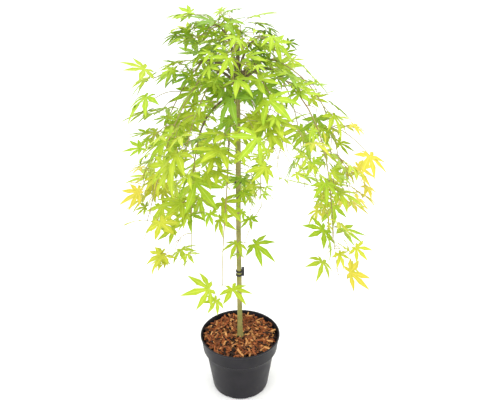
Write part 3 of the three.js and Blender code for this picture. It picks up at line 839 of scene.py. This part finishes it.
def makeLeafShape(number):
    plan = lobePlan
    draw = seeded("leafForms", number)
    bm = bmesh.new()
    bm.loops.layers.uv.new("blade")
    fold = between(plan["fold"], draw())
    droop = between(plan["droop"], draw())
    turns = [turn + wobble(plan["turnJitter"], draw) for turn in plan["turns"]]
    reaches = [reach * (1 + wobble(plan["reachJitter"], draw)) for reach in plan["reach"]]
    for lobe, (turn, reach) in enumerate(zip(turns, reaches)):
        short = lobe in (0, len(turns) - 1)
        rows = [(0, 0), (plan["notch"] * plan["firstRow"] / reach, 0)]
        rows += plan["shortRows"] if short else plan["rows"]
        left = (turns[lobe + 1] + turn) / 2 if lobe + 1 < len(turns) else plan["backTurn"]
        right = (turns[lobe - 1] + turn) / 2 if lobe else -plan["backTurn"]
        bend = between(plan["bend"], draw())
        sag = droop * rising(plan["sag"], draw())
        grid = bmesh.ops.create_grid(bm, x_segments=len(rows) - 1, y_segments=2, size=0.5, calc_uvs=True)
        for vert in grid["verts"]:
            row = round((vert.co.x + 0.5) * (len(rows) - 1))
            side = round(vert.co.y * 2)
            if row == 0:
                vert.co = (0, 0, 0)
                continue
            if row == 1 and side:
                edge = left if side > 0 else right
                out = plan["backNotch"] if abs(edge) == plan["backTurn"] else plan["notch"]
                aim, across = math.radians(edge), 0
            else:
                along, width = rows[row]
                out = along * reach
                aim = math.radians(turn) * (1 + bend * out * out)
                across = side * width * plan["halfWidth"] * rising(plan["shortLobe"], reach)
            vert.co = (out * math.cos(aim) - across * math.sin(aim),
                       out * math.sin(aim) + across * math.cos(aim), 0)
            flat = math.hypot(vert.co.x, vert.co.y)
            pleat = fold * abs(side) * plan["halfWidth"] * plan["pleat"][row > 1]
            # neighbours share the notch between them, so it hangs as the whole blade does
            hang = (droop if row == 1 else sag) * flat * flat
            vert.co.z = pleat * min(1, plan["pleatFade"] * (1 - flat)) - hang
    bmesh.ops.remove_doubles(bm, verts=bm.verts, dist=1e-4)
    bmesh.ops.dissolve_degenerate(bm, edges=bm.edges, dist=1e-5)
    bm.normal_update()
    bmesh.ops.reverse_faces(bm, faces=[face for face in bm.faces if face.normal.z < 0])
    for face in bm.faces:
        face.smooth = True
    mesh = bpy.data.meshes.new("leafForm")
    bm.to_mesh(mesh)
    bm.free()
    return mesh


# Base and patch of each tone, from the deep green that the middle of the crown is given, partly as painted
# shade, to the yellow of its outer tips
leafTones = {
    "deepGreen": ((0.2, 0.34, 0.022), (0.14, 0.28, 0.018)),
    "midGreen": ((0.27, 0.42, 0.022), (0.17, 0.32, 0.02)),
    "freshGreen": ((0.37, 0.5, 0.024), (0.25, 0.42, 0.02)),
    "lime": ((0.42, 0.51, 0.028), (0.32, 0.44, 0.022)),
    "yellowGreen": ((0.51, 0.52, 0.036), (0.41, 0.47, 0.028)),
    "yellow": ((0.59, 0.5, 0.042), (0.5, 0.47, 0.034)),
}
leafLook = {"scale": 75, "amount": 0.8, "roughness": 0.52, "shine": 0.17}
ribLook = {"light": 1.2, "lift": 0.06, "width": 0.11, "amount": 0.6}
tonePlan = {
    "plain": 0.42, "tip": 0.14, "spray": 0.34, "shade": 0.2, "limits": (0.27, 0.37, 0.56, 0.74, 0.9),
    # how much a place turns leaves to yellow, then what is measured and from where to where that grows
    "places": (
        (0.16, ("out", 120, 250), ("height", 790, 620)),
        (0.44, ("across", 190, 280), ("height", 760, 640)),
        (0.22, ("across", -110, -190), ("height", 660, 580)),
        (0.2, ("height", 420, 340)),
        # painted shade: leaves near the middle of the crown are turned to deeper greens
        (-0.14, ("out", 110, 40)),
        # leaves towards the back are turned to deeper greens as well
        (-0.1, ("depth", 20, 120)),
    ),
    # the top and the middle of the crown stay green: how far it may turn there, and where that begins
    "innerMost": 0.55, "innerPlace": (("aside", 190, 90), ("height", 650, 730)),
    "middleMost": 0.72, "middlePlace": ("aside", 120, 200),
}


def toneOf(leaf):
    plan = tonePlan
    point = leaf["base"]
    measures = {"out": math.hypot(point.x, point.y), "across": point.x, "aside": abs(point.x),
                "depth": point.y, "height": point.z}

    def grown(measure, low, high):
        return smooth(low, high, measures[measure])
    tint = plan["plain"] + plan["tip"] * leaf["share"] ** 2
    for amount, *ramps in plan["places"]:
        tint += amount * math.prod(grown(*ramp) for ramp in ramps)
    tint += plan["spray"] * (leaf["spray"] - 0.5) + plan["shade"] * (leaf["shade"] - 0.5)
    inner = min(grown(*ramp) for ramp in plan["innerPlace"])
    middle = grown(*plan["middlePlace"])
    tint = min(tint, mix(1, plan["innerMost"], inner), mix(plan["middleMost"], 1, middle))
    return sum(tint > limit for limit in plan["limits"])


def leafMaterial(name, base, patch):
    material = patchyMaterial(name, base, patch, **leafLook)
    rib = [min(part * ribLook["light"] + ribLook["lift"], 1) for part in base]
    values = {"Rib": (*rib, 1), "Width": ribLook["width"], "Amount": ribLook["amount"]}
    ribs = addNode(material.node_tree, "Group", values, node_tree=groups["ribs"])
    overlay(material, ribs, "Blade", "Colour")
    return material


def makeLeaves():
    forms = [makeLeafShape(number) for number in range(lobePlan["forms"])]
    meshes = [bmesh.new() for _ in leafTones]
    for bm in meshes:
        bm.loops.layers.uv.new("blade")
    tones = [toneOf(leaf) for leaf in kept["leaves"]]
    for leaf, tone in zip(kept["leaves"], tones):
        bm = meshes[tone]
        before = len(bm.verts)
        bm.from_mesh(forms[leaf["form"] % len(forms)])
        turned = Matrix((leaf["axis"], leaf["cross"], leaf["face"])).transposed().to_4x4()
        place = Matrix.Scale(mm, 4) @ Matrix.Translation(leaf["base"]) @ turned
        place @= Matrix.Scale(leaf["length"], 4)
        bmesh.ops.transform(bm, matrix=place, verts=newVerts(bm, before))
    for tone, (name, colours) in enumerate(leafTones.items()):
        material = leafMaterial(name + "Leaf", *colours)
        finishPiece(newObject("leaves_" + name, meshes[tone], material), nodesNamed("foliage_"))
        print("leaves", name, tones.count(tone))


def tubeMesh(name, lines, sides, material):
    # every line is a list of (point, radius) in millimetres; one mesh for them all
    curve = bpy.data.curves.new(name, "CURVE")
    curve.dimensions = "3D"
    curve.bevel_depth = mm
    curve.bevel_resolution = sides
    curve.use_fill_caps = True
    for line in lines:
        spline = curve.splines.new("POLY")
        spline.points.add(len(line) - 1)
        for knot, (point, radius) in zip(spline.points, line):
            knot.co = (point[0] * mm, point[1] * mm, point[2] * mm, 1)
            knot.radius = radius
    made = bpy.data.objects.new(name + "Curve", curve)
    bpy.context.scene.collection.objects.link(made)
    mesh = evaluatedMesh(made)
    bpy.data.objects.remove(made)
    bm = bmesh.new()
    bm.from_mesh(mesh)
    bpy.data.meshes.remove(mesh)
    bmesh.ops.remove_doubles(bm, verts=bm.verts, dist=1e-7)
    bmesh.ops.recalc_face_normals(bm, faces=bm.faces)
    for face in bm.faces:
        face.smooth = True
    return newObject(name, bm, material)


def pathLine(path, radii, count, until):
    return [(pointAt(path, until * i / count), between(radii, i / count)) for i in range(count + 1)]


# how many steps each kind of line is drawn in, and how round it is
twigLooks = {
    "stemSteps": 14, "shootSteps": 6, "sides": 1, "stalkSides": 0,
    "bark": {
        "base": (0.34, 0.33, 0.1), "patch": (0.3, 0.19, 0.08), "scale": 30, "amount": 0.9, "roughness": 0.55,
        "grain": {"Scale": 300.0, "Stretch": 0.3, "Strength": 0.3},
    },
    "stalk": {
        "base": (0.4, 0.42, 0.08), "patch": (0.42, 0.26, 0.07), "scale": 25, "amount": 0.8, "roughness": 0.5,
    },
}


def makeTwigs():
    looks = twigLooks
    lines = []
    for shoot in allShoots:
        steps = looks["stemSteps"] if shoot["main"] else looks["shootSteps"]
        lines.append(pathLine(shoot["path"], shoot["radii"], steps, shoot["used"]))
    twigs = tubeMesh("twigs", lines, looks["sides"], patchyMaterial("twigBark", **looks["bark"]))
    finishPiece(twigs, nodesNamed("foliage_"))
    start, end = leafPlan["petioleRadii"]
    lines = []
    for leaf in kept["leaves"]:
        middle = leaf["root"].lerp(leaf["base"], 0.5)
        middle += up * leafPlan["petioleArch"] * (leaf["base"] - leaf["root"]).length
        lines.append([(leaf["root"], start), (middle, end), (leaf["base"], end)])
    stalks = tubeMesh("leafStalks", lines, looks["stalkSides"], patchyMaterial("leafStalk", **looks["stalk"]))
    finishPiece(stalks, nodesNamed("foliage_"))
    print("twigs and leaf stalks", len(allShoots), len(lines))


# Trunk and boughs with their bark

barkPlan = {
    "sides": 28, "step": 3.2, "sunk": 6, "smoothBelow": 70,
    # slow bulges and the lumps of the head: strength, how tight they are round the trunk and up it, shift
    "bulge": (0.055, 0.8, 0.035, 0), "knots": (1.9, 1.4, 0.075, 9), "knotSpread": 24,
    # growth rings: number, clear of the foot and the top, place in their own share of the height
    "rings": 21, "ringFoot": 20, "ringTop": 40, "ringPlace": (0.35, 0.3), "ringSwell": 0.4, "ringWidth": 1.9,
    "rootLobes": 5, "rootSwell": 1.5, "rootHeight": 9, "rootTurn": 0.7, "capHeight": 9, "capShrink": 0.55,
    "boughSides": 3, "boughRings": 34, "collar": 2.3, "collarShare": 0.09, "boughBulge": 0.16,
    "boughNoise": 0.09, "boughNodes": 4.3, "nodeSwell": 0.35, "nodeWidth": 0.1,
    "trunkColours": ((0.2, 0.205, 0.05), (0.33, 0.275, 0.095)),
    "boughColours": ((0.12, 0.115, 0.04), (0.19, 0.14, 0.06)),
    "look": {
        "scale": 34.0, "amount": 0.9, "roughness": 0.62,
        "grain": {"Scale": 420.0, "Stretch": 0.35, "Strength": 0.45, "Distance": 0.0006},
    },
    "fleckColour": (0.17, 0.12, 0.06), "fleckStretch": 5, "fleckScale": 70, "fleckLimits": (0.62, 0.76),
}


def barkMaterial(name, base, patch):
    plan = barkPlan
    material = patchyMaterial(name, base, patch, **plan["look"])
    tree = material.node_tree
    coords = addNode(tree, "TexCoord")
    flatten = addNode(tree, "Mapping", {"Scale": (1, 1, plan["fleckStretch"])})
    flecks = addNode(tree, "TexNoise", {"Scale": plan["fleckScale"], "Detail": 3})
    low, high = plan["fleckLimits"]
    pick = addNode(tree, "MapRange", {"From Min": low, "From Max": high})
    dark = addNode(tree, "Mix", {"B": (*plan["fleckColour"], 1)}, data_type="RGBA")
    connect(
        tree, (coords, "Object", flatten, "Vector"), (flatten, "Vector", flecks, "Vector"),
        (flecks, "Fac", pick, "Value"), (pick, "Result", dark, "Factor"))
    overlay(material, dark, "A", "Result")
    return material


def lumps(side, height, strength, around, upward, shift):
    return strength * noise.noise(Vector((side.x * around + shift, side.y * around, height * upward)))


def barkRadius(height, side, turn, rings):
    # the trunk's radius with its bark's relief, at a height and a direction
    plan = barkPlan
    rise = max(height - trunkPlan["ground"], 0)
    radius = trunkRadius(max(height, trunkPlan["ground"])) * (1 + lumps(side, height, *plan["bulge"]))
    radius += lumps(side, height, *plan["knots"]) * bell(height - trunkPlan["head"], plan["knotSpread"])
    roots = math.cos(plan["rootLobes"] * turn + plan["rootTurn"])
    radius += plan["rootSwell"] * math.exp(-rise / plan["rootHeight"]) * roots
    for ring in rings:
        radius += plan["ringSwell"] * bell(height - ring, plan["ringWidth"])
    cap = smooth(trunkPlan["top"] - plan["capHeight"], trunkPlan["top"], height)
    return radius * (1 - plan["capShrink"] * cap)


def boughLine(path):
    plan = barkPlan
    line = []
    for i in range(plan["boughRings"] + 1):
        share = i / plan["boughRings"]
        point = pointAt(path, share)
        radius = mix(boughPlan["baseRadius"], boughPlan["tipRadius"], share)
        radius += plan["collar"] * math.exp(-share / plan["collarShare"])
        radius *= 1 + plan["boughBulge"] * noise.noise(point * plan["boughNoise"])
        radius += plan["nodeSwell"] * bell((share * plan["boughNodes"]) % 1 - 0.5, plan["nodeWidth"])
        line.append((point, radius))
    return line


def makeLimbs():
    plan = barkPlan
    draw = seeded("bark")
    ground, top = trunkPlan["ground"] - plan["sunk"], trunkPlan["top"]
    rings = []
    for i in range(plan["rings"]):
        share = (i + rising(plan["ringPlace"], draw())) / plan["rings"]
        rings.append(mix(ground + plan["ringFoot"], top - plan["ringTop"], share))
    count = round((top - ground) / plan["step"])
    bm = bmesh.new()
    bmesh.ops.create_circle(bm, cap_ends=True, segments=plan["sides"], radius=1)
    edges = [edge for edge in bm.edges if len(edge.link_faces) == 1]
    for _ in range(count):
        grown = bmesh.ops.extrude_edge_only(bm, edges=edges)["geom"]
        verts = [item for item in grown if isinstance(item, bmesh.types.BMVert)]
        edges = [item for item in grown if isinstance(item, bmesh.types.BMEdge)]
        edges = [edge for edge in edges if len(edge.link_faces) == 1]
        bmesh.ops.translate(bm, verts=verts, vec=(0, 0, 1 / count))
    bmesh.ops.edgeloop_fill(bm, edges=edges)
    for vert in bm.verts:
        height = mix(ground, top, vert.co.z)
        turn = math.atan2(vert.co.y, vert.co.x)
        side = Vector((math.cos(turn), math.sin(turn), 0))
        vert.co = (trunkCentre(height) + side * barkRadius(height, side, turn, rings)) * mm
    bmesh.ops.recalc_face_normals(bm, faces=bm.faces)
    smoothBelow(bm, plan["smoothBelow"])
    trunkBark = barkMaterial("trunkBark", *plan["trunkColours"])
    finishPiece(newObject("trunk_bark", bm, trunkBark), ["trunk"])

    boughBark = barkMaterial("boughBark", *plan["boughColours"])
    lines = [boughLine(path) for path in boughPaths.values()]
    limbs = tubeMesh("bough_bark", lines, plan["boughSides"], boughBark)
    finishPiece(limbs, nodesNamed("bough_"))
    print("trunk and boughs", len(limbs.data.polygons))


# Pot

potPlan = {
    "steps": 96, "smoothBelow": 28,
    # (radius, height), from the middle of the underside round the outside, over the rim and down inside
    "profile": [
        (0, 0), (62, 0), (65, 0.8), (67.3, 3), (68, 6), (72, 33), (76.4, 63), (80.6, 91), (82.5, 103.5),
        (83.6, 105.4), (88.2, 106.8), (89.3, 108.2), (90.6, 119), (92.2, 131), (93.6, 140.4), (94.6, 141.6),
        (95, 142.4), (95, 144), (94.2, 145), (92.4, 145), (91.7, 144), (87.1, 109.6), (80.6, 105.2),
        (66, 6), (62, 3), (0, 3),
    ],
    "drains": 8, "drainFrom": 54, "drainTo": 76, "drainWidth": 13, "drainHeight": 4.5,
    "look": {
        "base": (0.008, 0.007, 0.01), "patch": (0.018, 0.016, 0.02), "scale": 26.0, "amount": 0.8,
        "roughness": 0.5, "shine": 0.2,
        "grain": {"Scale": 900.0, "Stretch": 1.0, "Strength": 0.12, "Distance": 0.0003},
    },
    "wear": (0.36, 0.5),  # roughness, from the plain plastic to its patches
}


def potMaterial():
    material = patchyMaterial("potPlastic", **potPlan["look"])
    tree = material.node_tree
    shader = tree.nodes["Principled BSDF"]
    patches = shader.inputs["Base Color"].links[0].from_node
    low, high = potPlan["wear"]
    wear = addNode(tree, "MapRange", {"To Min": low, "To Max": high})
    connect(tree, (patches, "Mask", wear, "Value"), (wear, "Result", shader, "Roughness"))
    return material


def makePot():
    plan = potPlan
    bm = bmesh.new()
    spinProfile(bm, plan["profile"], plan["steps"])
    smoothBelow(bm, plan["smoothBelow"])
    piece = newObject("pot_shell", bm, potMaterial())
    cutter = bmesh.new()
    length = plan["drainTo"] - plan["drainFrom"]
    for number in range(plan["drains"]):
        block = bmesh.ops.create_cube(cutter, size=1)["verts"]
        place = Matrix.Rotation(2 * math.pi * (number + 0.5) / plan["drains"], 4, "Z")
        place @= Matrix.Translation((plan["drainFrom"] * mm + length * mm / 2, 0, 0))
        place @= Matrix.Diagonal((length * mm, plan["drainWidth"] * mm, 2 * plan["drainHeight"] * mm, 1))
        bmesh.ops.transform(cutter, matrix=place, verts=block)
    tool = newObject("drainCutter", cutter)
    cut = piece.modifiers.new("drains", "BOOLEAN")
    cut.operation = "DIFFERENCE"
    cut.object = tool
    cut.solver = "EXACT"
    mesh = evaluatedMesh(piece)
    piece.modifiers.clear()
    piece.data = mesh
    bpy.data.objects.remove(tool)
    finishPiece(piece, ["pot"])
    print("pot", len(mesh.polygons))


# Bark mulch: a dark bed, painted shade for the gaps between the chips, with loose chips on it

chipPlan = {
    "bed": 130, "bedWall": [(0, 3.4), (62, 3.4), (65, 7), (79.5, 104), (86.4, 109.5), (89.2, 129)],
    "bedRings": range(86, 4, -6), "bedRise": 0.6, "bedSteps": 72, "bedSmooth": 50,
    "bedNoise": 160, "bedRough": 1.8, "bedRoughTo": 88, "bedRoughDepth": 2,
    "count": 980, "inner": 8.5, "outer": 89.8, "endShare": 2.2, "heap": 5.5, "lift": 1.2,
    "edgeLift": 4, "edgeFrom": 60, "edgeTo": 88,
    "length": (9, 31), "lengthBias": 1.3, "width": (2.2, 5.4), "thickness": (1.3, 3.4), "tilt": 1.3,
    # how a chip's ends narrow, the least and the spread of its length and thickness, how far corners stray
    "pinch": 0.45, "shrinkX": (0.85, 0.3), "shrinkZ": (0.6, 0.5), "strayY": 0.14, "strayZ": 0.3,
    "colours": {
        # Dark is the colour of the darkest chips, and of the bed below them, where it is painted shade in the
        # gaps between the chips
        "Dark": ((0.03, 0.011, 0.006), (0.014, 0.006, 0.004)),
        "Red": ((0.38, 0.115, 0.034), (0.24, 0.06, 0.018)),
        "Brown": ((0.22, 0.075, 0.027), (0.12, 0.038, 0.015)),
        "Tan": ((0.68, 0.34, 0.125), (0.5, 0.2, 0.065)),
    },
    "shares": (0.22, 0.36, 0.26, 0.16),
    "bedLook": {
        "scale": 220, "amount": 1.0, "roughness": 0.95,
        "grain": {"Scale": 500.0, "Stretch": 1.0, "Strength": 0.8, "Distance": 0.001},
    },
    "chipLook": {
        "scale": 140, "amount": 0.9, "roughness": 0.85,
        "grain": {"Scale": 700.0, "Stretch": 0.5, "Strength": 0.6, "Distance": 0.0006},
    },
}


def makeBed():
    plan = chipPlan
    bm = bmesh.new()
    tops = [(out, plan["bed"]) for out in plan["bedRings"]]
    spinProfile(bm, [*plan["bedWall"], *tops, (0, plan["bed"] + plan["bedRise"])], plan["bedSteps"])
    for vert in bm.verts:
        onTop = vert.co.z > (plan["bed"] - plan["bedRoughDepth"]) * mm
        if onTop and vert.co.xy.length < plan["bedRoughTo"] * mm:
            vert.co.z += noise.noise(vert.co * plan["bedNoise"]) * plan["bedRough"] * mm
    smoothBelow(bm, plan["bedSmooth"])
    # the bed takes the darkest chip colour, as painted shade in the gaps between the chips
    bed = patchyMaterial("mulchBedPaintedShade", *plan["colours"]["Dark"], **plan["bedLook"])
    finishPiece(newObject("mulch_bed", bm, bed), ["bark_mulch"])


def addChip(chips, size, place, draw):
    # a split piece of bark: a box cut once across, with every corner strayed
    plan = chipPlan
    before = len(chips.verts)
    made = bmesh.ops.create_cube(chips, size=1)["verts"]
    edges = list({edge for vert in made for edge in vert.link_edges})
    long = [edge for edge in edges if abs((edge.verts[0].co - edge.verts[1].co).x) > 0.5]
    bmesh.ops.subdivide_edges(chips, edges=long, cuts=1)
    made = newVerts(chips, before)
    for vert in made:
        x, y, z = vert.co
        pinch = 1 - plan["pinch"] * abs(x) * 2 * draw()
        x *= rising(plan["shrinkX"], draw())
        y = y * pinch + wobble(plan["strayY"], draw)
        z *= rising(plan["shrinkZ"], draw())
        vert.co = (x, y, z + wobble(plan["strayZ"], draw))
    tilt = Matrix.Rotation(wobble(plan["tilt"], draw), 4, "X")
    tilt @= Matrix.Rotation(wobble(plan["tilt"], draw), 4, "Y")
    spun = Matrix.Rotation(2 * math.pi * draw(), 4, "Z")
    place = Matrix.Scale(mm, 4) @ Matrix.Translation(place) @ spun @ tilt
    bmesh.ops.transform(chips, matrix=place @ Matrix.Diagonal((*size, 1)), verts=made)


def makeMulch():
    plan = chipPlan
    makeBed()
    draw = seeded("mulch")
    names = list(plan["colours"])
    meshes = [bmesh.new() for _ in names]
    for _ in range(plan["count"]):
        kind = draw()
        chosen = 0
        while kind > sum(plan["shares"][:chosen + 1]) and chosen < len(names) - 1:
            chosen += 1
        length = between(plan["length"], draw() ** plan["lengthBias"])
        size = Vector((length, between(plan["width"], draw()), between(plan["thickness"], draw())))
        out = math.sqrt(mix(plan["inner"] ** 2, (plan["outer"] - size.x / plan["endShare"]) ** 2, draw()))
        turn = 2 * math.pi * draw()
        lift = plan["bed"] + size.z / 2 + plan["heap"] * draw() + plan["lift"]
        lift += plan["edgeLift"] * smooth(plan["edgeFrom"], plan["edgeTo"], out)
        addChip(meshes[chosen], size, polar(math.degrees(turn), out, lift), draw)
    for name, chips in zip(names, meshes):
        bmesh.ops.recalc_face_normals(chips, faces=chips.faces)
        material = patchyMaterial("chip" + name, *plan["colours"][name], **plan["chipLook"])
        finishPiece(newObject("mulch_chips_" + name.lower(), chips, material), ["bark_mulch"])
    print("mulch chips", plan["count"])


# Soft ties round the trunk

tiePlan = {
    "upper": 530, "lower": 313, "lowerStrap": 303.5, "depth": 4.5, "thickness": 1.7, "gap": 0.3,
    "tilt": -0.2, "round": 0.6, "steps": 48, "smoothBelow": 40, "keeper": (6, 7, 21), "keeperRound": 1.1,
    "look": {
        "base": (0.012, 0.012, 0.013), "patch": (0.03, 0.029, 0.028), "scale": 300, "amount": 0.6,
        "roughness": 0.6, "shine": 0.4,
        "grain": {"Scale": 1200.0, "Stretch": 1.0, "Strength": 0.2, "Distance": 0.0002},
    },
}


def addStrap(bm, height, tilt):
    plan = tiePlan
    half, soft = plan["depth"] / 2, plan["round"]
    inner = trunkRadius(height) + plan["gap"] + half * math.sin(abs(tilt))
    outer = inner + plan["thickness"]
    strap = bmesh.new()
    spinProfile(strap, [
        (inner, -half + soft / 2), (inner + soft / 2, -half), (outer - soft, -half), (outer, -half + soft),
        (outer, half - soft), (outer - soft, half), (inner + soft / 2, half), (inner, half - soft / 2),
        (inner, -half + soft / 2),
    ], plan["steps"])
    place = Matrix.Translation(trunkCentre(height) * mm) @ Matrix.Rotation(tilt, 4, "Y")
    bmesh.ops.transform(strap, matrix=place, verts=strap.verts)
    mesh = bpy.data.meshes.new("strap")
    strap.to_mesh(mesh)
    strap.free()
    bm.from_mesh(mesh)
    bpy.data.meshes.remove(mesh)


def addKeeper(bm):
    # the rounded block that joins the two lower straps at the side
    plan = tiePlan
    wide, deep, tall = plan["keeper"]
    made = bmesh.ops.create_cube(bm, size=1)["verts"]
    centre = trunkCentre(plan["lower"])
    out = trunkRadius(plan["lower"]) + plan["gap"] + wide / 2
    middle = Vector((centre.x + out, centre.y, plan["lowerStrap"] - plan["depth"] / 2 + tall / 2))
    place = Matrix.Translation(middle * mm) @ Matrix.Diagonal((wide * mm, deep * mm, tall * mm, 1))
    bmesh.ops.transform(bm, matrix=place, verts=made)
    edges = list({edge for vert in made for edge in vert.link_edges})
    bmesh.ops.bevel(bm, geom=edges, offset=plan["keeperRound"] * mm, offset_type="OFFSET", affect="EDGES",
                    segments=3, profile=0.5, material=-1)


def makeTies():
    plan = tiePlan
    rubber = patchyMaterial("tieRubber", **plan["look"])
    upper, lower = bmesh.new(), bmesh.new()
    addStrap(upper, plan["upper"], plan["tilt"])
    addStrap(lower, plan["lower"], 0)
    addStrap(lower, plan["lowerStrap"], 0)
    addKeeper(lower)
    for name, bm in (("upper", upper), ("lower", lower)):
        smoothBelow(bm, plan["smoothBelow"])
        finishPiece(newObject("tie_strap_" + name, bm, rubber), ["tie_" + name])
    print("ties")


makeStage()
makeLimbs()
makeTwigs()
makeLeaves()
makePot()
makeMulch()
makeTies()
